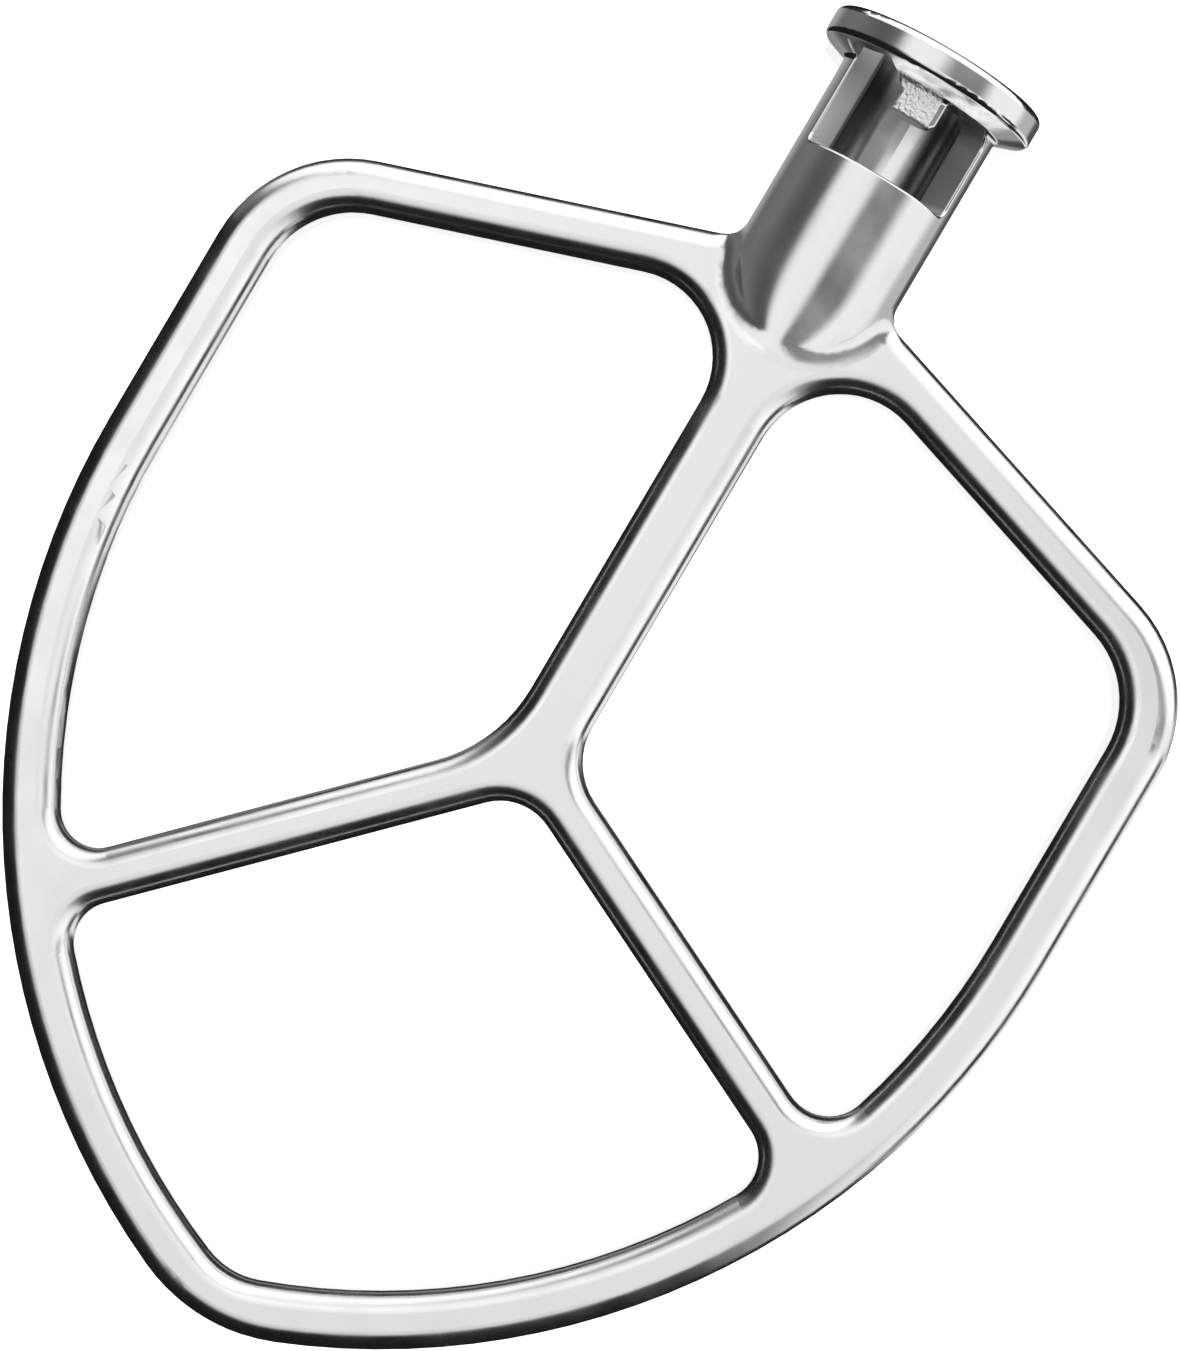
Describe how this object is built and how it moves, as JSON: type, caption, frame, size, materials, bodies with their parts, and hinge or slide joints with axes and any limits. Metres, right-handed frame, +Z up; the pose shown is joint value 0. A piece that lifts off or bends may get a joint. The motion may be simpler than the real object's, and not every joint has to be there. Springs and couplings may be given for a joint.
{
  "type": "stand mixer flat beater",
  "caption": "One-piece cast steel flat beater for a stand mixer: a shield-shaped frame with a forked post under a flanged bayonet hub.",
  "frame": {"origin": "centre of the laid beater's bounding box, on the floor it rests on", "axes": "+X to the right across the frame, +Y from the frame's tip towards the hub, +Z up, out of the front face where the hub's window is"},
  "size_m": [0.1386, 0.1856, 0.0299],
  "materials": {
    "cast_steel": "cast stainless steel, mirror-polished frame, satin-polished hub"
  },
  "bodies": {
    "root": {"flat_beater": "cast_steel"}
  },
  "joints": []
}
